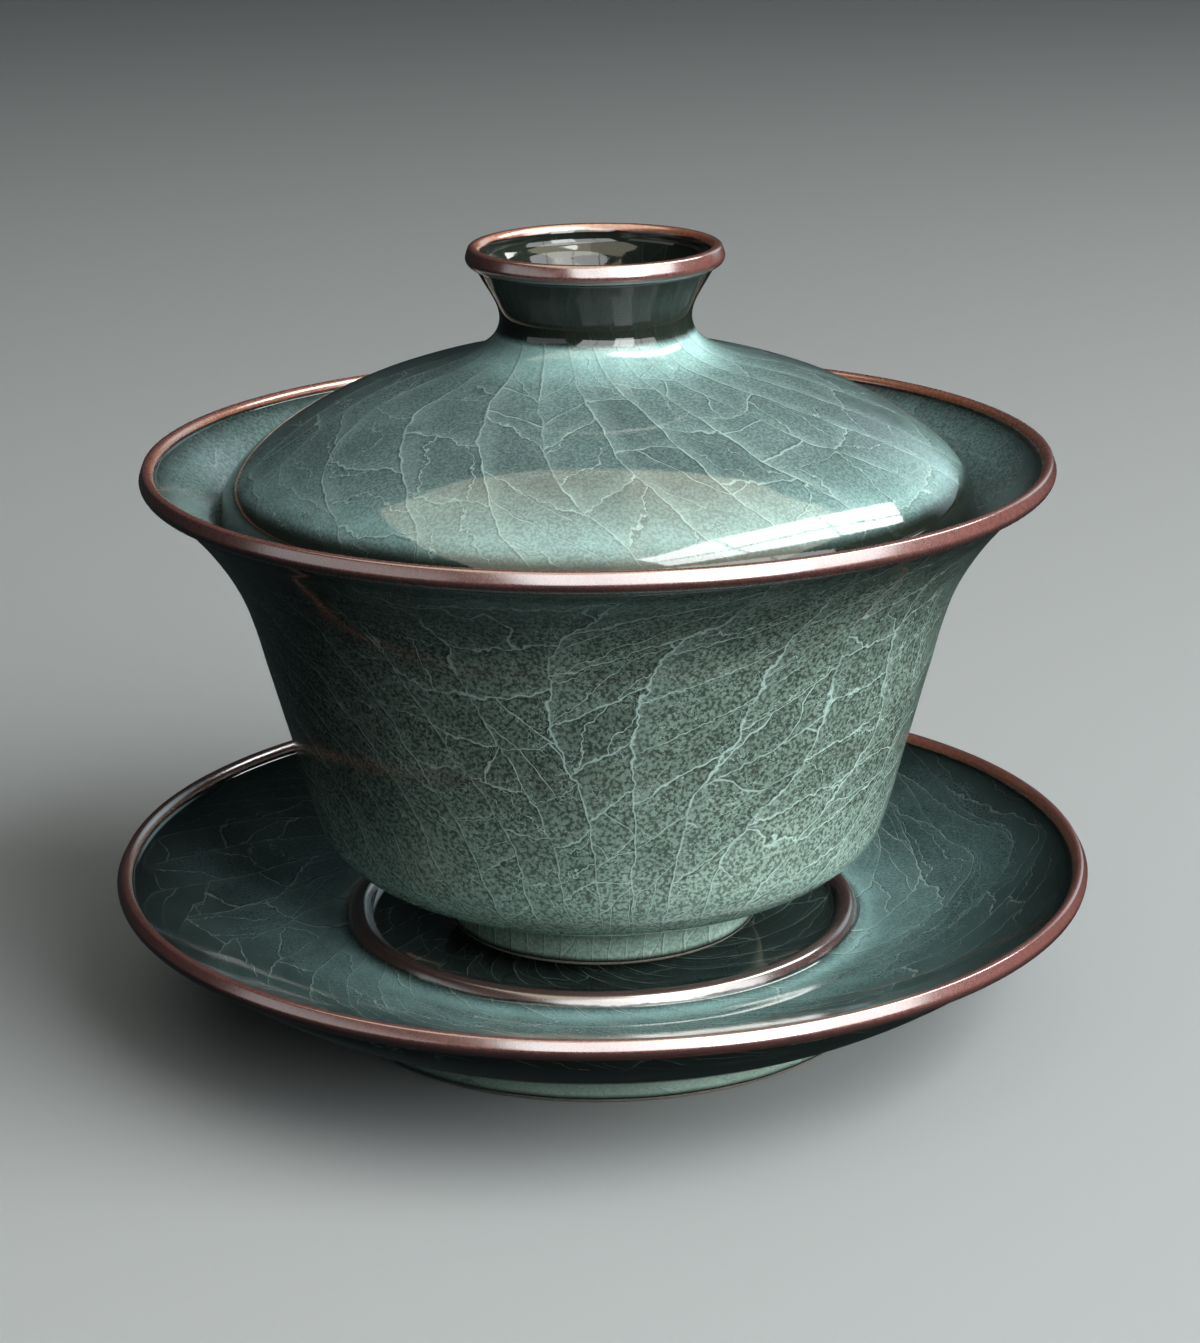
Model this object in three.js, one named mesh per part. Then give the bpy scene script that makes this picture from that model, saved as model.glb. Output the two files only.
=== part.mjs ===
import * as THREE from 'three';

// A gaiwan: a covered tea bowl on its saucer. It is three fired ceramic pieces, each turned about the same
// upright axis: the saucer, the bowl that stands in the saucer's well, and the lid that rests inside the
// bowl's flare. Millimetres, +Z up, with the origin at the centre of the saucer's foot.
// Every outline is drawn as (radius, height). It runs outwards underneath, then back inwards on top.

// --- driving dimensions ---

const SEGMENTS = 56; // facets round the axis
const REST_GAP = 0.3; // space left where one piece rests on another
const DEGREE = Math.PI / 180;

const SAUCER = {
  rimRadius: 55, // outside of the lip
  rimHeight: 16.7, // middle of the lip
  ringRadius: 28.0, // crest of the raised ring round the well
  ringHeight: 11.5,
  wellRadius: 26.2,
  wellHeight: 9.7,
  footRadius: 31.3,
  footWidth: 3.0,
  footHeight: 2.9,
  recessHeight: 5.2, // hollow inside the foot
};

const BOWL = {
  rimRadius: 50.1,
  rimHeight: 62.9,
  footRadius: 17.6,
  footWidth: 2.3,
  footHeight: 4.1,
  recessDepth: 3.2,
  floorThickness: 4.0,
};

const LID = {
  edgeRadius: 41.5, // outside of the lower edge
  edgeHeight: 57.98, // middle of the lower edge
  neckRadius: 10.5,
  neckHeight: 79.0,
  knobRadius: 14.1,
  knobHeight: 85.7, // middle of the knob's lip
  cupHeight: 76.4, // floor of the hollow in the knob
  crownHeight: 72.3, // underside of the lid on the axis
};

const LIP = { halfWidth: 0.86, halfHeight: 1.15 }; // rounded rim of the saucer, the bowl and the knob
const EDGE = { halfWidth: 0.95, halfHeight: 1.0 }; // rounded lower edge of the lid
const LIP_OVERLAP = 0.05; // how far a wall starts inside the lip that it meets
const BEVEL = 0.4; // unglazed bevel at the bottom of a foot

// Steps along a stretch of outline.
const COARSE = 2;
const MEDIUM = 4;
const FINE = 6;
const LIP_STEPS = 7;

// --- outline helpers ---

const at = (radius, height) => new THREE.Vector2(radius, height);

// The point that lies outwards and up from another by the amounts given.
const beside = (point, outwards, up) => at(point.x + outwards, point.y + up);

// A smooth stretch that leaves start towards leave, and comes into end from arrive.
function sweep(start, leave, arrive, end, steps) {
  return new THREE.CubicBezierCurve(start, leave, arrive, end).getPoints(steps);
}

// Part of an oval, counter-clockwise from one angle to another, in degrees from straight outwards.
function roundOff(middle, shape, fromAngle, toAngle, steps) {
  const { halfWidth, halfHeight } = shape;
  const oval = new THREE.EllipseCurve(
    middle.x, middle.y, halfWidth, halfHeight, fromAngle * DEGREE, toAngle * DEGREE, false);
  return oval.getPoints(steps);
}

// Joins stretches end to end, and keeps one point where two of them meet.
function join(...stretches) {
  const samePlace = 0.01;
  const outline = [];
  for (const next of stretches.flat()) {
    const last = outline.at(-1);
    if (!last || last.distanceTo(next) > samePlace) outline.push(next);
  }
  return outline;
}

// The bottom of a foot ring, from its inner wall to its outer wall.
function footRing(innerRadius, outerRadius, height) {
  return [
    at(innerRadius, height + BEVEL),
    at(innerRadius + BEVEL, height),
    at(outerRadius - BEVEL, height),
    at(outerRadius, height + BEVEL),
  ];
}

// The hollow inside a foot ring: flat in the middle, with a rounded corner of the size given at the wall.
function footRecess(wallRadius, height, corner) {
  const flatEnd = at(wallRadius - corner, height);
  const wallTop = at(wallRadius, height - corner);
  const pull = corner * 0.75;
  const rounding = sweep(flatEnd, beside(flatEnd, pull, 0), beside(wallTop, 0, pull), wallTop, COARSE);
  return [at(0, height), ...rounding];
}

// --- outlines ---

function saucerOutline() {
  const { rimRadius, rimHeight, ringRadius, ringHeight, wellRadius, wellHeight } = SAUCER;
  const { footRadius, footWidth, footHeight, recessHeight } = SAUCER;
  const lip = at(rimRadius - LIP.halfWidth, rimHeight);

  const footTop = at(footRadius + 0.5, footHeight - 0.6);
  const heel = at(37, 4.8); // where the underside leaves the foot and begins to rise
  const lipBelow = at(rimRadius - 1.7, rimHeight - 1.3);
  const underside = [
    ...sweep(footTop, beside(footTop, 0.3, 1.0), beside(heel, -2.5, -1.2), heel, MEDIUM),
    ...sweep(heel, beside(heel, 5.5, 2.6), beside(lipBelow, -4.5, -4.2), lipBelow, MEDIUM),
  ];

  const lipAbove = beside(lip, LIP_OVERLAP - LIP.halfWidth, -0.1);
  const ringOutside = at(ringRadius + 1.9, ringHeight - 1.5);
  const dishHigh = beside(lipAbove, -4.5, -2.5);
  const dish = sweep(lipAbove, dishHigh, beside(ringOutside, 9.6, 0), ringOutside, FINE);

  const ringTop = at(ringRadius, ringHeight);
  const wellEdge = at(wellRadius - 0.8, wellHeight);
  const ring = [
    ...sweep(ringOutside, beside(ringOutside, -0.9, 0), beside(ringTop, 1.2, 0), ringTop, MEDIUM),
    ...sweep(ringTop, beside(ringTop, -1.3, 0), beside(wellEdge, 1.7, 0), wellEdge, MEDIUM),
  ];
  return join(
    footRecess(footRadius - footWidth, recessHeight, 2.4),
    footRing(footRadius - footWidth, footRadius, 0),
    underside,
    roundOff(lip, LIP, -75, 175, LIP_STEPS),
    dish,
    ring,
    [at(0, wellHeight)],
  );
}

function bowlOutline() {
  const { rimRadius, rimHeight, footRadius, footWidth, footHeight, recessDepth, floorThickness } = BOWL;
  const footBottom = SAUCER.wellHeight + REST_GAP;
  const recessHeight = footBottom + recessDepth;
  const lip = at(rimRadius - LIP.halfWidth, rimHeight);

  const footTop = at(footRadius + 0.1, footBottom + footHeight - 1.2);
  const bellyFoot = at(19.6, 14.7); // where the belly springs from the foot
  const bellySide = at(32.6, 24.3); // where the belly has turned upright
  const shoulder = at(38.4, 46.3); // where the wall begins to flare
  const lipBelow = at(rimRadius - 1.4, rimHeight - 1.2);
  const outside = [
    ...sweep(footTop, beside(footTop, 0, 1.2), beside(bellyFoot, -1.2, -0.4), bellyFoot, COARSE),
    ...sweep(bellyFoot, beside(bellyFoot, 8.0, 2.5), beside(bellySide, -1.1, -5.1), bellySide, FINE),
    ...sweep(bellySide, beside(bellySide, 1.6, 6.1), beside(shoulder, -1.8, -6.9), shoulder, MEDIUM),
    ...sweep(shoulder, beside(shoulder, 1.5, 6.0), beside(lipBelow, -4.2, -3.3), lipBelow, FINE),
  ];

  const lipAbove = beside(lip, LIP_OVERLAP - LIP.halfWidth, 0.3);
  const innerShoulder = at(36.0, 47.0);
  const innerBelly = at(30.2, 25.6);
  const floorEdge = at(9.0, recessHeight + floorThickness);
  const aboveBelly = beside(innerBelly, 1.4, 4.9);
  const inside = [
    ...sweep(lipAbove, beside(lipAbove, -4.85, -3.0), beside(innerShoulder, 2.0, 7.5), innerShoulder, FINE),
    ...sweep(innerShoulder, beside(innerShoulder, -1.8, -7.2), aboveBelly, innerBelly, COARSE),
    ...sweep(innerBelly, beside(innerBelly, -1.6, -5.4), beside(floorEdge, 13.0, 0.2), floorEdge, FINE),
  ];
  return join(
    footRecess(footRadius - footWidth, recessHeight, 1.5),
    footRing(footRadius - footWidth, footRadius, footBottom),
    outside,
    roundOff(lip, LIP, -70, 165, LIP_STEPS),
    inside,
    [at(0, floorEdge.y)],
  );
}

function lidOutline() {
  const { edgeRadius, edgeHeight, neckRadius, neckHeight } = LID;
  const { knobRadius, knobHeight, cupHeight, crownHeight } = LID;
  const edge = at(edgeRadius - EDGE.halfWidth, edgeHeight);
  const lip = at(knobRadius - LIP.halfWidth, knobHeight);

  const crown = at(8.0, crownHeight);
  const edgeInside = beside(edge, LIP_OVERLAP - EDGE.halfWidth, 0.3);
  const aboveEdge = beside(edgeInside, -5.45, 7.0);
  const underside = sweep(crown, beside(crown, 14.0, -1.0), aboveEdge, edgeInside, FINE);

  const edgeAbove = at(edgeRadius - 0.1, edgeHeight + 0.6);
  const brow = at(37.0, 65.1); // where the steep lower dome rolls over into the shallow top
  const crest = at(16.9, 74.0); // where the shallow top begins to rise into the neck
  const neck = at(neckRadius, neckHeight);
  const lipBelow = beside(lip, -0.15, -1.1);
  const outside = [
    ...sweep(edgeAbove, beside(edgeAbove, 0.2, 2.3), beside(brow, 2.8, -2.2), brow, MEDIUM),
    ...sweep(brow, beside(brow, -6.0, 4.5), beside(crest, 7.6, -1.9), crest, FINE),
    ...sweep(crest, beside(crest, -4.2, 1.1), beside(neck, 0, -2.4), neck, FINE),
    ...sweep(neck, beside(neck, 0, 1.8), beside(lipBelow, -1.1, -2.2), lipBelow, MEDIUM),
  ];

  const lipAbove = beside(lip, LIP_OVERLAP - LIP.halfWidth, -0.2);
  const cupFloor = at(4.0, cupHeight);
  const cup = sweep(lipAbove, beside(lipAbove, -1.4, -2.9), beside(cupFloor, 5.4, 0), cupFloor, FINE);
  return join(
    [at(0, crownHeight)],
    underside,
    roundOff(edge, EDGE, 200, 370, LIP_STEPS - COARSE),
    outside,
    roundOff(lip, LIP, -70, 180, LIP_STEPS),
    cup,
    [at(0, cupHeight)],
  );
}

// --- glazes ---

function darkCeladon() {
  return new THREE.MeshStandardMaterial({ color: 0x2f4746, roughness: 0.18, metalness: 0 });
}

function greenCeladon() {
  return new THREE.MeshStandardMaterial({ color: 0x46594f, roughness: 0.22, metalness: 0 });
}

function paleCeladon() {
  return new THREE.MeshStandardMaterial({ color: 0x4f6a63, roughness: 0.15, metalness: 0 });
}

// --- pieces ---

function turnedPiece(name, outline, glaze) {
  const geometry = new THREE.LatheGeometry(outline, SEGMENTS);
  geometry.rotateX(90 * DEGREE);
  const piece = new THREE.Mesh(geometry, glaze);
  piece.name = name;
  return piece;
}

const gaiwan = new THREE.Group();
gaiwan.add(
  turnedPiece('saucer', saucerOutline(), darkCeladon()),
  turnedPiece('bowl', bowlOutline(), greenCeladon()),
  turnedPiece('lid', lidOutline(), paleCeladon()),
);

export default gaiwan;
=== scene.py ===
"""A gaiwan in dark crackle celadon: saucer, bowl and lid, each turned finely from its CAD outline."""

import math

import bpy
import numpy as np
from mathutils import Matrix, Vector


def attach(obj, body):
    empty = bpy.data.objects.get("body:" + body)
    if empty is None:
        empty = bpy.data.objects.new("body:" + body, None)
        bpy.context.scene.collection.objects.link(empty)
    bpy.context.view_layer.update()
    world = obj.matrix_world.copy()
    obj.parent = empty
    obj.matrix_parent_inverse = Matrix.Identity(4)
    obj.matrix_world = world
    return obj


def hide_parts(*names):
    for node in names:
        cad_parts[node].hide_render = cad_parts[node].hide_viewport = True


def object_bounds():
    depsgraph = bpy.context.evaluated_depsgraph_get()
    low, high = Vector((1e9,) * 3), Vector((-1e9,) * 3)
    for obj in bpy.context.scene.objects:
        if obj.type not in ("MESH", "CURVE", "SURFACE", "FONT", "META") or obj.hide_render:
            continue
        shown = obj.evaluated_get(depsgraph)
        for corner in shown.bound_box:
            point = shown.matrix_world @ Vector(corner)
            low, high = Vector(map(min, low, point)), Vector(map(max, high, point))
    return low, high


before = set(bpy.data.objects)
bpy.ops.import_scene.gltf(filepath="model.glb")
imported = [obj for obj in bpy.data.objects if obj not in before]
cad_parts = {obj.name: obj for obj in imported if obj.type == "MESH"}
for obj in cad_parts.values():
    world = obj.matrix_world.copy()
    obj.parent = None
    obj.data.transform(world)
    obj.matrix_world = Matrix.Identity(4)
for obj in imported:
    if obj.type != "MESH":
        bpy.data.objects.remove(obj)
cad_low, cad_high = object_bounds()

MM = 0.001
MICRON = 1e-6

# --- camera: looks at the axis from the front, a little above ---
CAMERA_ELEVATION = math.radians(17.62)
CAMERA_ROLL = math.radians(-0.69)
CAMERA_DISTANCE = 349.9 * MM
CAMERA_AIM_HEIGHT = 38.4 * MM
CAMERA_LENS = 83.43  # for the sensor's long side of 36 mm, which is the picture's height

# --- fine turning ---
SPOKES = 288  # facets round the axis
STEP = 0.55 * MM  # longest step along an outline
TURN_STEP = math.radians(7)  # sharpest turn between two steps
CORNER = math.radians(40)  # a CAD outline turns more than this only at a true corner
COURSE_STEP = 0.2 * MM  # an outline's direction is measured at this step
COURSE_BLUR = 15  # and evened out over this many steps

# --- hand-made unevenness ---
UNEVEN = 0.05 * MM  # how far the thrown surface wanders inwards
EVEN_RADIUS = 6 * MM  # it wanders less and less from here to the axis
# Slow waves: waves round the axis, radians per mm along the outline, phase, share
WAVES = ((2, 0.16, 0.0, 1.0), (3, -0.21, 1.3, 0.8), (5, 0.37, 2.1, 0.6))
RIPPLE = (0.9, 0.7, 0.7)  # throwing rings: radians per mm along the outline, phase, share

# --- lips: each is slightly flattened on its outside ---
LIP_FLAT = 0.14 * MM  # depth of the flat
LIP_FLATNESS = 0.86  # 1 is quite flat
LIP_SIZE = 2.6 * MM  # the flat lies within this of the lip's top
LIPS_START = 10 * MM  # every lip is farther than this from the axis

# --- bare clay at the bottom of a foot ---
GLAZE_THICKNESS = 0.12 * MM  # the clay stands back by this from the glaze
BARE_HEIGHT = 0.45  # mm of bare clay above the bottom of the foot
BARE_FADE = 0.15  # mm over which the step back from the glaze is made

# --- brown bands, in millimetres: brown before and after the crest, painted shade before and after it, and a shift.
# An outline runs from the axis below, out and over the rim, to the axis above. So what comes before a lip's
# crest is its outside, and what comes after it is its inside. Before the lid's edge is its underside. ---
RING_SHIFT = 30.0  # marks the brown of the saucer's raised ring, which is darker than a lip's
SAUCER_LIP = (2.9, 1.3, 3.0, 17.0, 0.0)
SAUCER_RING = (1.6, 1.5, 1.2, 1.0, RING_SHIFT)
BOWL_LIP = (2.9, 1.3, 17.0, 4.5, 0.0)
KNOB_LIP = (2.9, 1.3, 1.5, 1.5, 0.0)
LID_EDGE = (2.4, -1.5, 3.0, 3.3, 0.0)

# --- darkening, by thin glaze and by painted shade, and paleness, by pooled glaze and by painted light:
# (millimetres past a landmark), (amount at each). Millimetres below 0 come before the landmark. ---
WELL_DARK = ((0.8, 2.6, 20), (0, 0.8, 0.6))  # painted shade in the well under the bowl's foot, past the saucer's ring
UNDERSIDE_DARK = ((-22, -6, -3), (0.92, 0.92, 0.6))  # painted shade under the saucer, past the saucer's lip
UNDERSIDE_REST = 0.9  # painted shade under the saucer, farther before the lip than that
DISH_POOL = ((-13, -6, -3.2, -1.8), (0, 0.42, 0.85, 0))  # pale pooled glaze and painted light round the ring, past the saucer's ring
RING_WITHIN = 0.6  # share of the saucer's radius that the ring lies inside
FOOT_BEYOND = 0.55  # share of the saucer's radius that the outside of the foot lies outside
FOOT_BELOW_LIP = -10  # the foot comes more than this before the lip
FOOT_GLAZE_TOP = 4.0  # mm above the table that the foot's pale glaze, with its painted light, reaches
FILLET_HEIGHT = 4.2  # mm up the bowl where its foot meets its belly: the fillet
FILLET_BEYOND = 16  # mm from the axis that the fillet lies outside
FILLET_DARK = ((-1.6, -0.4, 0.5, 2.2), (0, 0.55, 0.55, 0))  # painted shade in the crease above the bowl's foot, past the fillet, as are the next two
# Pale pooled glaze low on the belly, and painted light bounced up from the saucer there
BELLY_POOL = ((-3.4, -1.4, 1.5, 4.0, 10, 19, 32), (0, 0, 0.6, 0.95, 0.6, 0.25, 0))
# The pale foot colour, which also paints light onto the shaded foot wall
BOWL_FOOT = ((-9, -3.4, -0.5, 0.8), (1, 1, 1, 0))
NECK_DARK = ((-1.9, -1.1, 8), (0, 0.96, 0.97))  # dark thin glaze and painted shade under the knob, past the lid's neck, up to the knob's lip
CUP_DARK = 0.97  # dark thin glaze and painted shade in the hollow inside the knob
EDGE_DARK = ((-1.7, -1.2, 3.9, 5.2), (0, 0.97, 0.97, 0))  # painted shade on the lid above its edge, where it sits in the bowl, past the lid's edge, as is the next
EDGE_POOL = ((4.0, 6.6, 9.0, 14.0), (0, 0.50, 0.28, 0))
NECK_POOL = ((-13, -8, -4.8, -1.8, -1.2), (0, 0.14, 0.66, 1, 0))  # past the lid's neck
BESIDE_BAND = 1.3  # the painted shade beside a brown band fades by this power
FAR = 99.0  # mm, farther than any glaze is from a band


def place_camera():
    data = bpy.data.cameras.new("camera")
    data.lens = CAMERA_LENS
    data.clip_start = 0.01
    camera = bpy.data.objects.new("camera", data)
    bpy.context.scene.collection.objects.link(camera)
    back = Vector((0, -math.cos(CAMERA_ELEVATION), math.sin(CAMERA_ELEVATION)))
    aim = Vector((0, 0, CAMERA_AIM_HEIGHT))
    turn = back.to_track_quat("Z", "Y").to_matrix() @ Matrix.Rotation(CAMERA_ROLL, 3, "Z")
    camera.matrix_world = Matrix.Translation(aim + back * CAMERA_DISTANCE) @ turn.to_4x4()
    bpy.context.scene.camera = camera


# --- outlines ---


def cad_outline(node):
    """The outline that a CAD node was turned from: (radius, height) from the axis below to the axis above."""
    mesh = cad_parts[node].data
    key = {}
    for v in mesh.vertices:
        if abs(v.co.y) < MICRON and v.co.x > -MICRON:
            key[v.index] = (round(v.co.x / MICRON), round(v.co.z / MICRON))
    near = {point: set() for point in key.values()}
    for edge in mesh.edges:
        a, b = (key.get(i) for i in edge.vertices)
        if a is not None and b is not None and a != b:
            near[a].add(b)
            near[b].add(a)
    point = min((p for p in near if p[0] == 0), key=lambda p: p[1])
    walk = [point]
    seen = {point}
    while True:
        ahead = [p for p in near[point] if p not in seen]
        if not ahead:
            break
        point = ahead[0]
        seen.add(point)
        walk.append(point)
    return np.array(walk, float) * MICRON


def smooth_run(points):
    """A smooth curve through points that has no corner, stepped finely.

    Known fault: a long flat beside a short bend takes up the bend's slope, and bows. The saucer's well
    sinks by up to 1.8 mm, and the recesses inside the feet rise by up to 1.7 mm.
    """
    gaps = np.linalg.norm(np.diff(points, axis=0), axis=1)
    chords = np.diff(points, axis=0) / gaps[:, None]
    if len(points) == 2:
        slopes = np.array([chords[0], chords[0]])
    else:
        shares = (gaps[:-1] / (gaps[:-1] + gaps[1:]))[:, None]
        middle = chords[:-1] * (1 - shares) + chords[1:] * shares
        slopes = np.vstack([2 * chords[0] - middle[0], middle, 2 * chords[-1] - middle[-1]])
    out = []
    for i, gap in enumerate(gaps):
        cosine = np.dot(slopes[i], slopes[i + 1]) / np.linalg.norm(slopes[i]) / np.linalg.norm(slopes[i + 1])
        turn = math.acos(max(-1.0, min(1.0, cosine)))
        count = max(1, math.ceil(gap / STEP), math.ceil(turn / TURN_STEP))
        t = np.linspace(0, 1, count, endpoint=False)[:, None]
        out.append(
            (2 * t**3 - 3 * t**2 + 1) * points[i]
            + (t**3 - 2 * t**2 + t) * gap * slopes[i]
            + (3 * t**2 - 2 * t**3) * points[i + 1]
            + (t**3 - t**2) * gap * slopes[i + 1]
        )
    return np.vstack([*out, points[-1:]])


def flatten_lips(outline, lips):
    """Flattens the outside of each lip a little: (height of the lip's top, facing angle) for each."""
    for top, facing in lips:
        out = np.array([math.cos(facing), math.sin(facing)])
        crest = int(np.argmin(np.abs(outline[:, 1] - top) + (outline[:, 0] < LIPS_START)))
        near = np.linalg.norm(outline - outline[crest], axis=1) < LIP_SIZE
        reach = outline @ out
        plane = reach[near].max() - LIP_FLAT
        proud = np.where(near, np.maximum(reach - plane, 0), 0)
        outline = outline - (proud * LIP_FLATNESS)[:, None] * out
    return outline


def fine_outline(node, lips):
    """The CAD outline with its curves smooth, its corners kept and its lips slightly flattened outside."""
    coarse = cad_outline(node)
    way = np.diff(coarse, axis=0)
    heading = np.unwrap(np.arctan2(way[:, 1], way[:, 0]))
    corners = [0, *(np.flatnonzero(np.abs(np.diff(heading)) > CORNER) + 1), len(coarse) - 1]
    runs = [smooth_run(coarse[a : b + 1]) for a, b in zip(corners, corners[1:])]
    fine = np.vstack([runs[0], *(run[1:] for run in runs[1:])])
    _, normal = outline_course(fine)
    proud = max(fine[:, 0].max() - coarse[:, 0].max(), fine[:, 1].max() - coarse[:, 1].max())
    low_down = fine[:, 1] < coarse[:, 1].min() + 1 * MM
    return flatten_lips(fine - normal * np.where(low_down, 0, proud)[:, None], lips)


def outline_course(outline):
    """For each outline point: the length along it, and the outward normal."""
    gaps = np.linalg.norm(np.diff(outline, axis=0), axis=1)
    along = np.concatenate([[0], np.cumsum(gaps)])
    even = np.arange(0, along[-1], COURSE_STEP)
    smooth = np.stack([np.interp(even, along, outline[:, k]) for k in (0, 1)], 1)
    blur = np.hanning(COURSE_BLUR)
    blur /= blur.sum()
    padded = np.pad(smooth, ((COURSE_BLUR // 2, COURSE_BLUR // 2), (0, 0)), "edge")
    smooth = np.stack([np.convolve(padded[:, k], blur, "valid") for k in (0, 1)], 1)
    way = np.gradient(smooth, axis=0)
    heading = np.unwrap(np.arctan2(way[:, 1], way[:, 0]))
    heading = np.interp(along, even, heading)
    normal = np.stack([np.sin(heading), -np.cos(heading)], 1)
    return along, normal


# --- meshes ---


def wander(angle, along):
    """A slow, hand-made unevenness from 0 to 1 over a turned surface. It joins up round the axis."""
    climb, phase, share = RIPPLE
    total = share
    height = share * np.sin(climb * along + np.sin(angle + phase))
    for turns, climb, phase, share in WAVES:
        total += share
        height = height + share * np.sin(turns * angle + climb * along + phase)
    return 0.5 + 0.5 * height / total


def turned_mesh(name, outline, facts, bare):
    """Turns an outline into one closed mesh that carries facts, {label: a value for each outline point}."""
    along, normal = outline_course(outline)
    sunk = outline - normal * [1, 0] * (bare * GLAZE_THICKNESS)[:, None]
    ring = sunk[1:-1]
    angles = np.linspace(0, 2 * math.pi, SPOKES, endpoint=False)
    free = np.clip(ring[:, 0] / EVEN_RADIUS, 0, 1) * (1 - bare[1:-1])
    inward = UNEVEN * wander(angles[:, None], along[None, 1:-1] / MM) * free
    radius = ring[None, :, 0] - inward * normal[None, 1:-1, 0]
    height = ring[None, :, 1] - inward * normal[None, 1:-1, 1]
    points = np.stack([radius * np.cos(angles)[:, None], radius * np.sin(angles)[:, None], height], 2)
    count = len(ring)
    vertices = np.vstack([points.reshape(-1, 3), [0, 0, sunk[0, 1]], [0, 0, sunk[-1, 1]]])
    bottom, top = SPOKES * count, SPOKES * count + 1
    faces = []
    for s in range(SPOKES):
        here, beside = s * count, (s + 1) % SPOKES * count
        faces.append((bottom, beside, here))
        faces += [(here + k, beside + k, beside + k + 1, here + k + 1) for k in range(count - 1)]
        faces.append((here + count - 1, beside + count - 1, top))
    mesh = bpy.data.meshes.new(name)
    mesh.from_pydata(vertices.tolist(), [], faces)
    mesh.shade_smooth()
    for label, values in facts.items():
        layer = mesh.attributes.new(label, "FLOAT", "POINT")
        layer.data.foreach_set("value", np.append(np.tile(values[1:-1], SPOKES), [values[0], values[-1]]))
    return mesh


# --- what the glaze does along each outline ---


def between(values, start, stop, pick):
    """The index of the smallest or largest of values[start:stop], by pick = np.argmin or np.argmax."""
    return start + int(pick(values[start:stop]))


def brown_bands(along, crests):
    """Where the glaze runs thin over an edge and shows iron brown.

    Each crest is (index, brown before, brown after, dark before, dark after, shift), all but the index in
    millimetres. The shift is added to the distance before the crest.
    Gives for each point how far beyond the nearest band it is (below 0 inside it), how far before that
    band's crest it is, and how much painted shade darkens the glaze beside the band.
    """
    beyond = np.full(len(along), FAR)
    before_crest = np.zeros(len(along))
    dark = np.zeros(len(along))
    for index, before, after, dark_before, dark_after, shift in crests:
        way = along - along[index]
        past = np.where(way < 0, -way - before, way - after)
        nearer = past < beyond
        beyond = np.where(nearer, past, beyond)
        before_crest = np.where(nearer, shift - way, before_crest)
        reach = np.where(way < 0, dark_before, dark_after)
        dark = np.maximum(dark, np.clip(1 - past / reach, 0, 1) ** BESIDE_BAND)
    return beyond, before_crest, dark


# Each of the next three takes an outline's radii, heights and lengths along, all in millimetres. It gives the
# crests for brown_bands, and for each point how dark (thin glaze and painted shade), how pale (pooled glaze
# and painted light), how much a foot and how far inside it is, from 0 to 1.


def saucer_marks(r, z, along):
    rim = int(np.argmax(z))
    ring = between(np.where(r < RING_WITHIN * r.max(), z, 0), rim, len(z), np.argmax)
    crests = [(rim, *SAUCER_LIP), (ring, *SAUCER_RING)]
    from_rim = along - along[rim]
    from_ring = along - along[ring]
    dark = np.interp(from_ring, *WELL_DARK)
    dark = np.maximum(dark, np.interp(from_rim, *UNDERSIDE_DARK, left=UNDERSIDE_REST, right=0))
    pool_and_painted_light = np.interp(from_ring, *DISH_POOL) * (from_rim > 0)
    foot_wall = (from_rim < FOOT_BELOW_LIP) * (r > FOOT_BEYOND * r.max()) * (z < FOOT_GLAZE_TOP)
    return crests, dark * (1 - foot_wall), pool_and_painted_light, foot_wall * 1.0, np.zeros(len(z))


def bowl_marks(r, z, along):
    rim = int(np.argmax(z))
    outer = slice(0, rim)
    from_fillet_height = np.abs(z - z.min() - FILLET_HEIGHT)
    fillet = between(np.where(r > FILLET_BEYOND, from_fillet_height, FAR), 0, rim, np.argmin)
    from_fillet = along - along[fillet]
    pool_and_painted_light = np.zeros(len(z))
    pool_and_painted_light[outer] = np.interp(from_fillet[outer], *BELLY_POOL)
    foot = np.interp(from_fillet, *BOWL_FOOT)
    inside = np.clip(along - along[rim], 0, 1)
    return [(rim, *BOWL_LIP)], np.interp(from_fillet, *FILLET_DARK), pool_and_painted_light, foot, inside


def lid_marks(r, z, along):
    knob = int(np.argmax(z))
    edge = between(r, 0, knob, np.argmax)
    neck = between(r, edge, knob, np.argmin)
    from_neck = along - along[neck]
    from_knob = along - along[knob]
    from_edge = along - along[edge]
    dark = np.where(from_knob < 0, np.interp(from_neck, *NECK_DARK), CUP_DARK)
    dark = np.maximum(dark, np.interp(from_edge, *EDGE_DARK))
    pool_and_painted_light = np.maximum(np.interp(from_neck, *NECK_POOL), np.interp(from_edge, *EDGE_POOL) * (from_neck < 0))
    none = np.zeros(len(z))
    return [(knob, *KNOB_LIP), (edge, *LID_EDGE)], dark, pool_and_painted_light, none, none


def glaze_facts(outline, marks, footed):
    """{label: a value for each outline point} for the glaze, and how bare of glaze each point is, 0 to 1."""
    along, _ = outline_course(outline)
    r, z, along = outline[:, 0] / MM, outline[:, 1] / MM, along / MM
    crests, dark, pool_and_painted_light, foot, inside = marks(r, z, along)
    beyond, before_crest, band_shade = brown_bands(along, crests)
    above_bare = z - z.min() - BARE_HEIGHT if footed else np.full(len(z), FAR)
    facts = {
        "along": along,
        "beyond": beyond,
        "before_crest": before_crest,
        "band_shade": band_shade,
        "dark": dark,
        "pool_and_painted_light": pool_and_painted_light,
        "foot": foot,
        "inside": inside,
        "above_bare": above_bare,
    }
    return facts, np.clip(-above_bare / BARE_FADE, 0, 1)


# --- shader arithmetic ---


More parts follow.
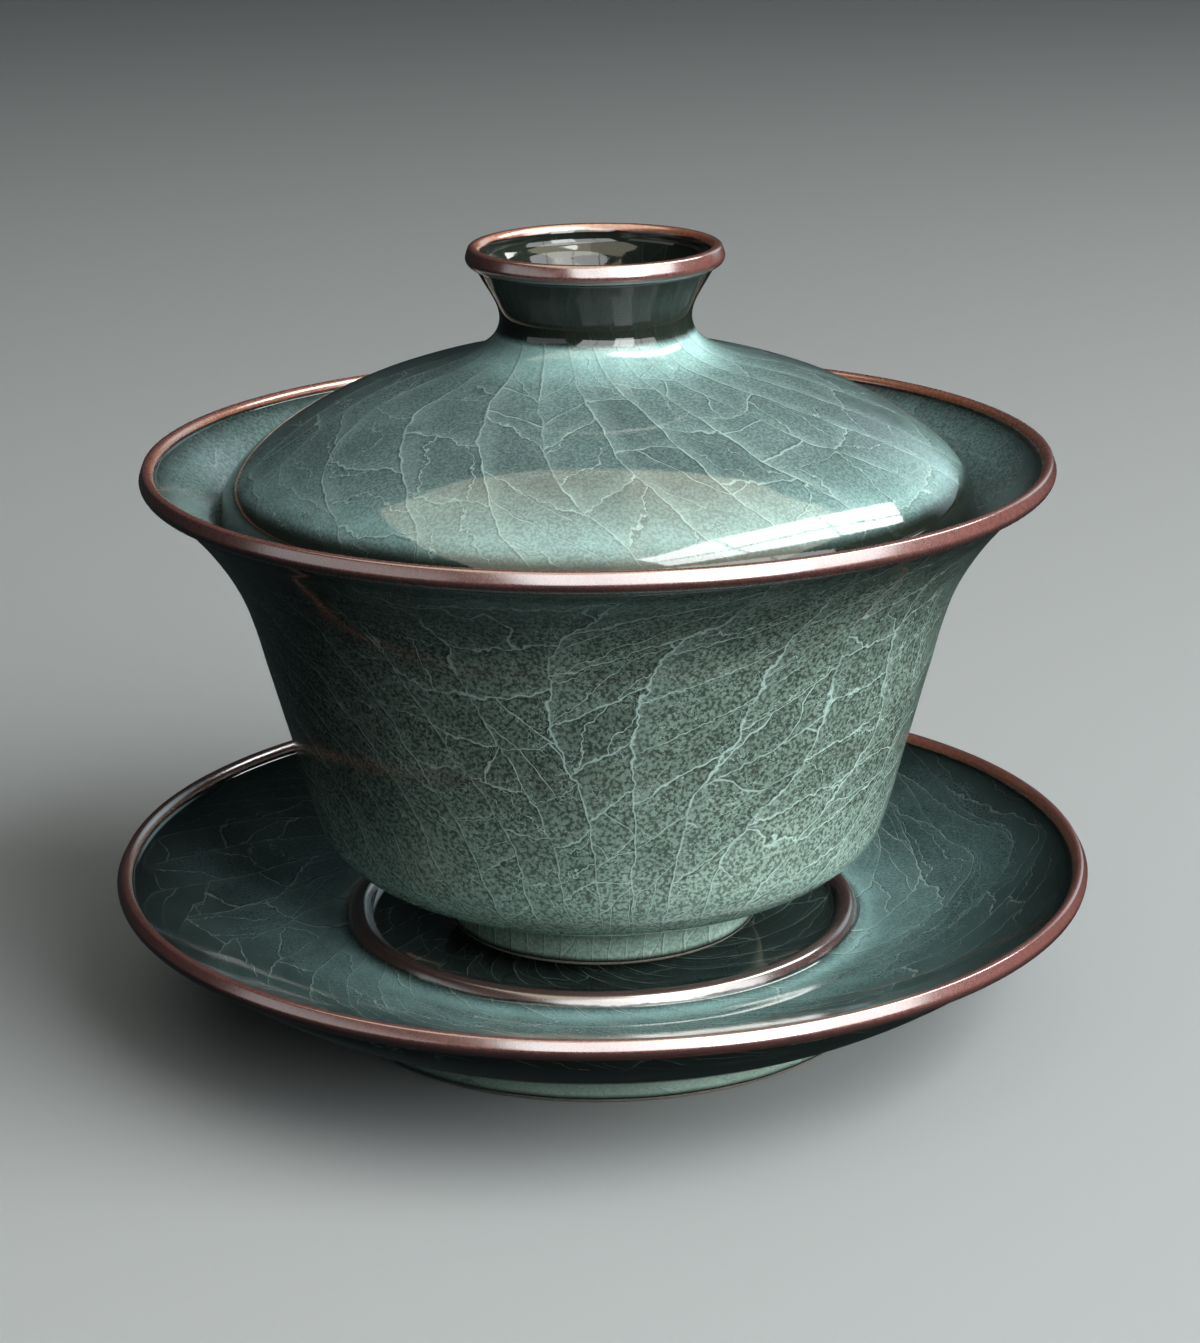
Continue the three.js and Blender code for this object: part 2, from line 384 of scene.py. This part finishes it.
class Number:
    """A number inside a material's node tree. Arithmetic on it adds Math nodes."""

    def __init__(self, tree, socket):
        self.tree = tree
        self.socket = socket

    def math(self, operation, *others):
        node = self.tree.nodes.new("ShaderNodeMath")
        node.operation = operation
        for slot, value in zip(node.inputs, (self, *others)):
            plug(self.tree, slot, value)
        return Number(self.tree, node.outputs[0])

    def __add__(self, other):
        return self.math("ADD", other)

    def __mul__(self, other):
        return self.math("MULTIPLY", other)

    def __sub__(self, other):
        return self.math("SUBTRACT", other)

    def __truediv__(self, other):
        return self.math("DIVIDE", other)

    def inverse(self):
        return self.math("MULTIPLY_ADD", -1.0, 1.0)

    def larger(self, other):
        return self.math("MAXIMUM", other)

    def ramp(self, low, high, start=0.0, end=1.0):
        """Runs smoothly from start to end while this number runs from low to high."""
        node = self.tree.nodes.new("ShaderNodeMapRange")
        node.interpolation_type = "SMOOTHSTEP"
        for slot, value in zip(node.inputs, (self, low, high, start, end)):
            plug(self.tree, slot, value)
        return Number(self.tree, node.outputs[0])


def plug(tree, slot, value):
    if isinstance(value, Number):
        tree.links.new(value.socket, slot)
    elif slot.type == "VECTOR":
        slot.default_value = value[:3]
    else:
        slot.default_value = value


def vector(tree, x, y, z=0.0):
    node = tree.nodes.new("ShaderNodeCombineXYZ")
    for slot, value in zip(node.inputs, (x, y, z)):
        plug(tree, slot, value)
    return Number(tree, node.outputs[0])


def attribute(tree, label):
    node = tree.nodes.new("ShaderNodeAttribute")
    node.attribute_name = label
    return Number(tree, node.outputs["Fac"])


def noise(tree, place, size, detail=2.0, roughness=0.5):
    """Cloudy noise from 0 to 1, with blobs about size millimetres apart."""
    node = tree.nodes.new("ShaderNodeTexNoise")
    plug(tree, node.inputs["Vector"], place)
    node.inputs["Scale"].default_value = 1 / size
    node.inputs["Detail"].default_value = detail
    node.inputs["Roughness"].default_value = roughness
    return Number(tree, node.outputs[0])


def chance(tree, x, y=0.0):
    """A number from 0 to 1 that is the same wherever x and y are the same.

    What a caller adds to its strip or row keeps one use of chance apart from another.
    """
    node = tree.nodes.new("ShaderNodeTexWhiteNoise")
    node.noise_dimensions = "2D"
    plug(tree, node.inputs["Vector"], vector(tree, x, y))
    return Number(tree, node.outputs["Value"])


def blend_colours(tree, share, first, second):
    node = tree.nodes.new("ShaderNodeMix")
    node.data_type = "RGBA"
    node.clamp_factor = True
    slots = [slot for slot in node.inputs if slot.enabled]
    for slot, value in zip(slots, (share, first, second)):
        plug(tree, slot, value)
    return Number(tree, next(out for out in node.outputs if out.enabled))


def scale_colour(tree, colour, amount):
    node = tree.nodes.new("ShaderNodeVectorMath")
    node.operation = "SCALE"
    plug(tree, node.inputs[0], colour)
    plug(tree, node.inputs["Scale"], amount)
    return Number(tree, node.outputs[0])


# --- crackle: sizes in millimetres ---

NOISE_SPAN = (0.3, 0.7)  # nearly all of a noise's values lie between these
CURL_SIZE = 6.5  # cracks bend, kink and jitter at these sizes
KINK_SIZE = 2.6
JITTER_SIZE = 1.0
SWELL_SIZE = 2.2  # their lines grow thick and thin
FADE_SIZE = 7  # and strong and faint
LEAN_SPAN = (-30.0, 24.0)  # long cracks lean sideways only between these distances past the middle
LONG_GLOW, SHORT_GLOW, FINE_GLOW = 2.6, 1.6, 1.0
SHORT_SHARE = 0.85  # of the short cracks' spacing along the outline, measured across them
FINE_SPACING = 4.2
FINE_PER_CELL = 1.9  # fine cracks across a cell between long and short ones
NETWORK_SIZE = 5.5
NETWORK_RADII = (8.0, 12.0)  # the network near the axis gives way to the long cracks between these


def crack(share, length, width, glow):
    """A crack at each whole number, where share is the fraction past it.

    Gives a thin bright line, a soft glow after it and a thin shade before it: the glow is a painted highlight
    where the crack catches light, and the shade is painted shade. Length is how many millimetres one whole
    step takes.
    """
    after = share * length
    before = share.inverse() * length
    line = after.math("MINIMUM", before).ramp(0.0, width, 1.0, 0.0)
    flank = after.ramp(0.0, glow, 1.0, 0.0)
    shade = before.ramp(width * 0.6, width * 2.6, 1.0, 0.0)
    return line, flank, shade


def crackle(tree, place, along, radius, angle, spec):
    """Crazing in the glaze: (pale lines, the painted glow after them, the painted shade before them, a tone
    per cell).

    Long cracks sweep up the surface. Shorter ones run between them and end on them, and the finest cross
    what is left. Near the axis, where the long ones would crowd together, a plain network takes over.
    """
    count = float(spec["long_cracks"])
    sway = noise(tree, place, spec["sway_size"], 0) - 0.5
    curl = noise(tree, place, CURL_SIZE, 1) - 0.5
    jitter = noise(tree, place, JITTER_SIZE, 2) - 0.5
    kink = (noise(tree, place, KINK_SIZE, 0) - 0.5) * spec["kink"]
    side = (angle * (4 * math.pi) + spec["side_phase"]).math("COSINE") * spec["side"]
    climb = (along - spec["middle"]).math("MINIMUM", LEAN_SPAN[1]).larger(LEAN_SPAN[0])
    slant = along * spec["twist"] + climb * side * spec["side_twist"]
    turn = angle * count + slant + sway * spec["sway"] + curl * 0.26 + kink + jitter * spec["jagged"]
    strip = turn.math("FLOOR").math("FLOORED_MODULO", count)
    within = turn.math("FRACT")
    pitch = radius * (2 * math.pi / count)

    width = noise(tree, place, SWELL_SIZE, 1).ramp(*NOISE_SPAN, 0.65, 1.3) * spec["line_width"]
    long_line, long_glow, long_shade = crack(within, pitch, width, LONG_GLOW)
    fade = noise(tree, place, FADE_SIZE, 1).ramp(0.34, 0.56, spec["faintest"], 1.0) * (side * 0.1 + 0.9)

    reach = spec["short_length"]
    lean = (chance(tree, strip, 3.0) - 0.5) * 1.2 - side * 0.7
    rung = along / reach + chance(tree, strip, 7.0) * 9.0 - (within - 0.5) * lean + sway * 0.9 + curl * 0.38
    rung = rung + jitter * spec["jagged"] * 2.2 + kink * 1.3
    row = rung.math("FLOOR")
    rise = rung.math("FRACT")
    short_line, short_glow, short_shade = crack(rise, reach * SHORT_SHARE, width * 0.85, SHORT_GLOW)
    shown = chance(tree, strip + 23.0, row).ramp(0.12, 0.35, 0.1, 0.9) * (side * -0.1 + 0.9)

    swing = chance(tree, strip * 1.7, row) * (2 * math.pi)
    across = within * swing.math("SINE") + rise * swing.math("COSINE") + curl * 0.5 + jitter * 0.16
    across = across * FINE_PER_CELL + chance(tree, strip, row + 40.0) * 5.0
    fine_line, _, fine_shade = crack(across.math("FRACT"), FINE_SPACING, width * 0.7, FINE_GLOW)
    fine_shown = chance(tree, strip + 11.0, row).ramp(0.1, 0.5, 0.15, 0.85)

    lines = (long_line * fade).larger(short_line * shown).larger(fine_line * fine_shown)
    glow = (long_glow * fade).larger(short_glow * shown * 0.7)
    shade = (long_shade * fade).larger(short_shade * shown).larger(fine_shade * fine_shown)
    tone = chance(tree, strip + 5.0, row + 17.0)

    centre = radius.ramp(*NETWORK_RADII, 1.0, 0.0)
    outer = centre.inverse()
    net = network(tree, place, vector(tree, curl * 4.0, sway * 4.0), width)
    return lines * outer + net * centre, glow * outer, shade * outer, tone


def network(tree, place, bend, width):
    """Pale lines between the cells of a plain network, whose place is moved by bend, in millimetres."""
    bent = tree.nodes.new("ShaderNodeVectorMath")
    bent.operation = "ADD"
    plug(tree, bent.inputs[0], place)
    plug(tree, bent.inputs[1], bend)
    cells = tree.nodes.new("ShaderNodeTexVoronoi")
    cells.feature = "DISTANCE_TO_EDGE"
    cells.inputs["Scale"].default_value = 1 / NETWORK_SIZE
    tree.links.new(bent.outputs[0], cells.inputs["Vector"])
    return (Number(tree, cells.outputs[0]) * NETWORK_SIZE).ramp(0.0, width, 0.8, 0.0)


# --- glaze ---


def placed(tree):
    """The point in millimetres in the piece's own frame, its angle round the axis in turns, and radius."""
    coordinates = tree.nodes.new("ShaderNodeTexCoord")
    in_mm = tree.nodes.new("ShaderNodeVectorMath")
    in_mm.operation = "SCALE"
    in_mm.inputs["Scale"].default_value = 1 / MM
    tree.links.new(coordinates.outputs["Object"], in_mm.inputs[0])
    place = Number(tree, in_mm.outputs[0])
    parts = tree.nodes.new("ShaderNodeSeparateXYZ")
    plug(tree, parts.inputs[0], place)
    x, y, _ = (Number(tree, out) for out in parts.outputs)
    return place, y.math("ARCTAN2", x) / (2 * math.pi), (x * x + y * y).math("SQRT")


# Sizes of the glaze's noises, in millimetres
CLOUD_SIZE = 13
PATCH_SIZE = 4
DUST_SIZE = 0.2
SQUIGGLE_PATCHES = 2.6
RAGGED_FINE = 1.3
RAGGED_WIDE = 7
IRON_GRAIN = 0.5
CLAY_GRAIN = 0.4
SWELLING = 4.5
# The lustre on iron brown
LUSTRE_IOR = 2.0
LUSTRE_ROUGHNESS = 0.2


def glaze(name, spec):
    """Dark glossy celadon over iron-rich clay: crackled, pale in pools and brown where it breaks on a rim,
    with painted shade and painted light in its colour.
    """
    material = bpy.data.materials.new(name)
    material.use_nodes = True
    tree = material.node_tree
    shader = tree.nodes["Principled BSDF"]
    place, angle, radius = placed(tree)
    before_crest, above_bare = attribute(tree, "before_crest"), attribute(tree, "above_bare")
    grain = noise(tree, place, spec["grain_size"], 1, 0.6)
    dust = noise(tree, place, DUST_SIZE, 0)
    ragged_fine, ragged_wide = noise(tree, place, RAGGED_FINE, 2), noise(tree, place, RAGGED_WIDE, 1)
    ragged = (ragged_fine - 0.5) * 0.5 + (ragged_wide - 0.5) * 0.9
    beyond = attribute(tree, "beyond") + ragged * 0.6
    brown = beyond.ramp(-0.1, 0.12, 1.0, 0.0)
    bare = (above_bare + ragged * 0.15).ramp(-0.05, 0.05, 1.0, 0.0)

    cracks = crackle(tree, place, attribute(tree, "along"), radius, angle, spec)
    colour = celadon(tree, place, grain, dust, cracks, spec)
    colour = blend_colours(tree, brown, colour, iron_brown(tree, place, beyond, before_crest, ragged, spec))
    # A painted shadow line above the bare clay, where the glaze rolls under at the foot.
    glaze_edge_shadow = (above_bare + ragged * 0.2).ramp(0.10, 0.80, 0.95, 0.0)
    colour = blend_colours(tree, glaze_edge_shadow, colour, spec["edge_shadow"])
    clay = scale_colour(tree, spec["clay"], noise(tree, place, CLAY_GRAIN, 2).ramp(*NOISE_SPAN, 0.7, 1.15))
    colour = blend_colours(tree, bare, colour, clay)
    tree.links.new(colour.socket, shader.inputs["Base Color"])

    rough = grain.ramp(*NOISE_SPAN, spec["gloss"] * 0.8, spec["gloss"] * 1.25) + brown * 0.15 + bare * 0.55
    tree.links.new(rough.socket, shader.inputs["Roughness"])
    shader.inputs["IOR"].default_value = 1.5
    tree.links.new(brown.socket, shader.inputs["Coat Weight"])
    shader.inputs["Coat IOR"].default_value = LUSTRE_IOR
    shader.inputs["Coat Roughness"].default_value = LUSTRE_ROUGHNESS

    relief = grain * spec["orange_peel"] + noise(tree, place, SWELLING, 1) * 0.022 + brown * dust * 0.008
    bump = tree.nodes.new("ShaderNodeBump")
    bump.inputs["Distance"].default_value = MM
    bump.inputs["Strength"].default_value = 1.0
    tree.links.new(relief.socket, bump.inputs["Height"])
    tree.links.new(bump.outputs[0], shader.inputs["Normal"])
    return material


def celadon(tree, place, grain, dust, cracks, spec):
    """The glaze's colour: cloudy and grained, pale in pools and along cracks and dark where it is thin, with
    painted shade in hollows, under edges and beside cracks, and painted light low on the bowl, on the feet
    and along cracks.
    """
    lines, glow, shade, tone = cracks
    dark, pool_and_painted_light, foot, inside = (attribute(tree, label) for label in ("dark", "pool_and_painted_light", "foot", "inside"))
    drawn = dark.ramp(0.0, 1.0, 1.0, spec["drawn_in_dark"]) * (inside * -0.65 + 1.0)

    clouds = noise(tree, place, CLOUD_SIZE, 2)
    body = blend_colours(tree, clouds.ramp(*NOISE_SPAN), spec["deep"], spec["light"])
    patchy = noise(tree, place, PATCH_SIZE, 2).ramp(0.25, 0.75, 0.75, 1.25)
    # Pale pooled glaze; low on the bowl's belly and round the saucer's ring this is also painted light.
    body = blend_colours(tree, pool_and_painted_light * patchy, body, spec["pool_and_painted_light"])
    # Pale glaze on the feet, made paler still as painted light on the shaded foot walls.
    body = blend_colours(tree, foot, body, spec["foot"])
    body = blend_colours(tree, inside, body, spec["inside"])

    calm = pool_and_painted_light.larger(foot).ramp(0.0, 1.0, 1.0, 0.35) * (inside * -0.5 + 1.0)
    speckle = (grain.ramp(0.36, 0.64, -1.0, 1.0) * calm * spec["speckle"]) + 1.0
    speckle = speckle * dust.ramp(*NOISE_SPAN, 0.93, 1.07) * tone.ramp(0.0, 1.0, 0.93, 1.07)
    # Painted shade on one side of each crack.
    speckle = speckle * (shade * drawn * spec["shade"]).inverse()
    body = scale_colour(tree, body, speckle)

    middling = (noise(tree, place, spec["grain_size"] * 1.7, 1, 0.6) - 0.5).math("ABSOLUTE")
    patches = noise(tree, place, SQUIGGLE_PATCHES, 1).ramp(0.4, 0.65, 0.1, 1.0)
    squiggles = middling.ramp(0.0, 0.035, 1.0, 0.0) * patches * drawn
    body = blend_colours(tree, squiggles * spec["squiggles"], body, spec["crack"])
    # Dark thin glaze, and painted shade: in the saucer's well and under the saucer, in the crease above the
    # bowl's foot, on the lid above its edge, under the knob and inside it.
    body = blend_colours(tree, dark, body, spec["thin_and_shade"])
    # A painted highlight where each crack catches light.
    body = blend_colours(tree, glow * drawn * spec["glow"], body, spec["crack"])
    body = blend_colours(tree, lines * drawn * spec["line_strength"], body, spec["crack"])
    # Painted shade beside each brown band: under the bowl's lip, inside the saucer's lip, by the ring and on
    # the lid by its edge.
    return blend_colours(tree, attribute(tree, "band_shade") * 0.93, body, spec["edge_shadow"])


def iron_brown(tree, place, beyond, before_crest, ragged, spec):
    """The colour of a brown band: light inside a lip, dark low down outside it and on the saucer's ring.

    A redder line runs where the outside of a lip's band ends.
    """
    over_the_top = (before_crest + ragged * 0.5).ramp(-0.7, -0.1)
    iron = blend_colours(tree, over_the_top, spec["iron_inside"], spec["iron_outside"])
    low_down = (before_crest + ragged * 0.4).ramp(1.5, 2.1)
    iron = blend_colours(tree, low_down, iron, spec["iron_low"])
    on_a_lip = before_crest.ramp(15.0, 20.0, 1.0, 0.0)
    edge_line = beyond.ramp(-0.42, -0.12) * before_crest.ramp(1.0, 1.4) * on_a_lip
    iron = blend_colours(tree, edge_line, iron, spec["iron_edge"])
    return scale_colour(tree, iron, noise(tree, place, IRON_GRAIN, 2).ramp(*NOISE_SPAN, 0.84, 1.14))


# Each glaze: its colours, then how strong each detail is. Sizes are in millimetres, along is the length along
# the outline, and a twist is in cracks per millimetre of it.
COMMON = {
    "pool_and_painted_light": (0.22, 0.36, 0.34, 1),
    "foot": (0.19, 0.28, 0.235, 1),
    "inside": (0.105, 0.160, 0.152, 1),
    "thin_and_shade": (0.010, 0.015, 0.011, 1),
    "crack": (0.36, 0.49, 0.445, 1),
    "edge_shadow": (0.004, 0.006, 0.005, 1),
    "iron_outside": (0.112, 0.042, 0.036, 1),
    "iron_low": (0.045, 0.022, 0.020, 1),
    "iron_inside": (0.235, 0.082, 0.046, 1),
    "iron_edge": (0.200, 0.052, 0.030, 1),
    "clay": (0.30, 0.26, 0.21, 1),
    "gloss": 0.06,
    "orange_peel": 0.002,
    "line_width": 0.17,
    "side": 0.0,  # how far two sides differ from the two between them
    "side_twist": 0.0,  # added on the first two sides, taken off on the others
    "side_phase": 0.0,
    "middle": 0.0,  # length along at which a side's twist starts from nothing
    "sway_size": 26,
    "grain_size": 0.34,
    "shade": 0.5,
    "jagged": 0.062,
    "kink": 0.10,
    "faintest": 0.4,  # strength of a long crack at its faintest
    "drawn_in_dark": 0.08,  # share of the cracks' strength left where thin glaze and painted shade darken the glaze
}

SAUCER_GLAZE = COMMON | {
    "deep": (0.035, 0.060, 0.056, 1),
    "light": (0.062, 0.106, 0.102, 1),
    "pool_and_painted_light": (0.150, 0.250, 0.242, 1),
    "foot": (0.235, 0.330, 0.278, 1),
    "speckle": 0.22,
    "squiggles": 0.08,
    "long_cracks": 28,
    "twist": 0.22,
    "sway": 3.6,
    "short_length": 8.0,
    "drawn_in_dark": 0.55,
    "line_strength": 0.58,
    "glow": 0.06,
}

BOWL_GLAZE = COMMON | {
    "deep": (0.061, 0.087, 0.071, 1),
    "light": (0.092, 0.128, 0.106, 1),
    "pool_and_painted_light": (0.27, 0.385, 0.33, 1),
    "grain_size": 0.42,
    "speckle": 0.56,
    "squiggles": 0.50,
    "line_width": 0.20,
    "jagged": 0.13,
    "kink": 0.15,
    "faintest": 0.5,
    "shade": 0.66,
    "gloss": 0.11,
    "orange_peel": 0.004,
    "long_cracks": 31,
    "twist": 0.03,
    "side": 1.0,
    "side_twist": 0.070,
    "side_phase": 4 * math.pi * 0.40,
    "middle": 62.0,
    "sway": 2.6,
    "short_length": 6.0,
    "line_strength": 0.95,
    "glow": 0.10,
}

LID_GLAZE = COMMON | {
    "deep": (0.060, 0.090, 0.085, 1),
    "light": (0.086, 0.127, 0.120, 1),
    "thin_and_shade": (0.007, 0.009, 0.006, 1),
    "speckle": 0.24,
    "squiggles": 0.10,
    "grain_size": 0.32,
    "long_cracks": 24,
    "twist": 0.075,
    "sway": 2.4,
    "short_length": 9.0,
    "drawn_in_dark": 0.03,
    "line_width": 0.18,
    "line_strength": 0.56,
    "glow": 0.15,
}


def make_piece(node, marks, spec, lip_facing, footed=True):
    """One finely turned ceramic piece in place of its CAD node."""
    top = cad_outline(node)[:, 1].max()
    outline = fine_outline(node, [(top, math.radians(lip_facing))])
    facts, bare = glaze_facts(outline, marks, footed)
    mesh = turned_mesh(node + "_turned", outline, facts, bare)
    piece = bpy.data.objects.new(node + "_glazed", mesh)
    bpy.context.scene.collection.objects.link(piece)
    mesh.materials.append(glaze(node + "_glaze", spec))
    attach(piece, node)
    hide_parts(node)


# --- stage, in metres ---

FLOOR_COLOUR = (0.23, 0.24, 0.242, 1)
FLOOR_FLAT = 1.9  # radius of the flat part
FLOOR_BEND = 0.6  # radius of the bend up into the wall
FLOOR_STEPS = 14  # round the bend
FLOOR_SPOKES = 64
WALL_TOP = 2.4
BAR = 0.012  # dark bar between two panes of a window
COOL, WARM = (0.97, 1.0, 1.0), (1.0, 0.92, 0.70)
GLOW_COLOUR = (0.66, 0.86, 0.92, 1)
GLOW_STRENGTH = 1.2
DIM = 0.02  # strength of the light all round


def stage_material():
    material = bpy.data.materials.new("pale_floor")
    material.use_nodes = True
    shader = material.node_tree.nodes["Principled BSDF"]
    shader.inputs["Base Color"].default_value = FLOOR_COLOUR
    shader.inputs["Roughness"].default_value = 0.8
    return material


def make_stage():
    """A pale round floor that curves up into a wall far away.

    It takes light and shadow, and the glaze neither mirrors it nor is lit by it.
    """
    bends = np.linspace(0, math.pi / 2, FLOOR_STEPS)
    section = [(FLOOR_FLAT + FLOOR_BEND * math.sin(t), FLOOR_BEND - FLOOR_BEND * math.cos(t)) for t in bends]
    section.append((FLOOR_FLAT + FLOOR_BEND, WALL_TOP))
    turns = [2 * math.pi * k / FLOOR_SPOKES for k in range(FLOOR_SPOKES)]
    vertices = [(r * math.cos(t), r * math.sin(t), z) for t in turns for r, z in section]
    vertices.append((0, 0, 0))
    count = len(section)
    faces = []
    for k in range(FLOOR_SPOKES):
        here, beside = k * count, (k + 1) % FLOOR_SPOKES * count
        faces.append((len(vertices) - 1, here, beside))
        faces += [(here + i, here + i + 1, beside + i + 1, beside + i) for i in range(count - 1)]
    mesh = bpy.data.meshes.new("floor")
    mesh.from_pydata(vertices, [], faces)
    mesh.shade_smooth()
    mesh.materials.append(stage_material())
    floor = bpy.data.objects.new("floor", mesh)
    bpy.context.scene.collection.objects.link(floor)
    floor.visible_glossy = False
    floor.visible_diffuse = False
    floor.visible_shadow = False


def soft_light(name, place, aim, size, radiance, colour, in_gloss, across=None):
    """A soft box at place, facing aim. It shows in the glaze's gloss, or else it lights all but the gloss.

    Its width runs level, or along across.
    """
    data = bpy.data.lights.new(name, "AREA")
    data.shape = "RECTANGLE"
    data.size, data.size_y = size
    data.energy = radiance * math.pi * size[0] * size[1]
    data.color = colour
    light = bpy.data.objects.new(name, data)
    bpy.context.scene.collection.objects.link(light)
    back = (Vector(place) - Vector(aim)).normalized()
    turn = back.to_track_quat("Z", "Y").to_matrix()
    if across is not None:
        turn = Matrix((across, back.cross(across), back)).transposed()
    light.matrix_world = Matrix.Translation(place) @ turn.to_4x4()
    light.visible_diffuse = not in_gloss
    light.visible_glossy = in_gloss


def window_row(name, start, end, height, across, up, radiance, colour):
    """A window between two places, facing the middle of the object: a grid of panes shown in the gloss."""
    way = end - start
    along = way.normalized()
    out = (start + end) / 2 - (cad_low + cad_high) / 2
    facing = (out - along * out.dot(along)).normalized()
    upwards = facing.cross(along)
    tall = height / up
    size = (way.length / across - BAR, tall - BAR)
    for i in range(across):
        for j in range(up):
            place = start + way * ((i + 0.5) / across) + upwards * (tall * (j + 0.5 - up / 2))
            soft_light(f"{name}_{i}_{j}", place, place - facing, size, radiance, colour, True, along)


def towards(azimuth, elevation, distance):
    """A place seen from the middle of the object. Azimuth is in degrees to the right of the camera's side."""
    a, e = math.radians(azimuth), math.radians(elevation)
    away = Vector((math.sin(a) * math.cos(e), -math.cos(a) * math.cos(e), math.sin(e)))
    return (cad_low + cad_high) / 2 + away * distance


def light_stage():
    middle = (cad_low + cad_high) / 2
    right = towards(58, 30, 1.0)
    left = towards(-62, 17, 1.0)
    front_right = towards(34, 22, 0.9)
    soft_light("window", right, middle, (1.15, 1.00), 11, COOL, in_gloss=False)
    soft_light("fill", (-0.1, -0.25, 0.9), (-0.1, -0.25, 0), (1.3, 1.2), 0.55, COOL, in_gloss=False)
    soft_light("ceiling", (0.18, -0.31, 0.88), (0.18, -0.31, 0), (1.55, 1.28), 2.3, WARM, in_gloss=True)
    soft_light("ceiling_right", (0.51, -0.31, 0.87), (0.51, -0.31, 0), (0.89, 1.28), 1.1, WARM, in_gloss=True)
    soft_light("left_wall", left, middle, (0.95, 0.30), 1.0, COOL, in_gloss=True)
    soft_light("lamp", front_right, middle, (0.36, 0.46), 10, COOL, in_gloss=True)
    low_start, low_end = towards(-20, 22, 1.0), towards(76, 22, 1.0)
    high_start, high_end = towards(22, 57, 1.0), towards(119, 30, 1.0)
    window_row("low_pane", low_start, low_end, height=0.46, across=4, up=1, radiance=5.6, colour=COOL)
    window_row("high_pane", high_start, high_end, height=0.23, across=3, up=2, radiance=15, colour=COOL)
    light_world()
    bpy.context.scene.view_settings.view_transform = "Standard"


def light_world():
    """Dim all round, with a soft blue glow low down behind on the right."""
    world = bpy.data.worlds.new("studio")
    world.use_nodes = True
    tree = world.node_tree
    ahead = Number(tree, tree.nodes.new("ShaderNodeTexCoord").outputs["Generated"])
    near = tree.nodes.new("ShaderNodeVectorMath")
    near.operation = "DOT_PRODUCT"
    plug(tree, near.inputs[0], ahead)
    near.inputs[1].default_value = (towards(144, 16, 1.0) - towards(0, 0, 0)).normalized()
    height = tree.nodes.new("ShaderNodeSeparateXYZ")
    plug(tree, height.inputs[0], ahead)
    round_it = Number(tree, near.outputs["Value"]).ramp(0.94, 1.0)
    above_floor = Number(tree, height.outputs[2]).ramp(-0.08, 0.12)
    background = tree.nodes["Background"]
    plug(tree, background.inputs["Color"], GLOW_COLOUR)
    plug(tree, background.inputs["Strength"], round_it * above_floor * GLOW_STRENGTH + DIM)
    bpy.context.scene.world = world


place_camera()
make_piece("saucer", saucer_marks, SAUCER_GLAZE, lip_facing=30)
make_piece("bowl", bowl_marks, BOWL_GLAZE, lip_facing=20)
make_piece("lid", lid_marks, LID_GLAZE, lip_facing=18, footed=False)
make_stage()
light_stage()
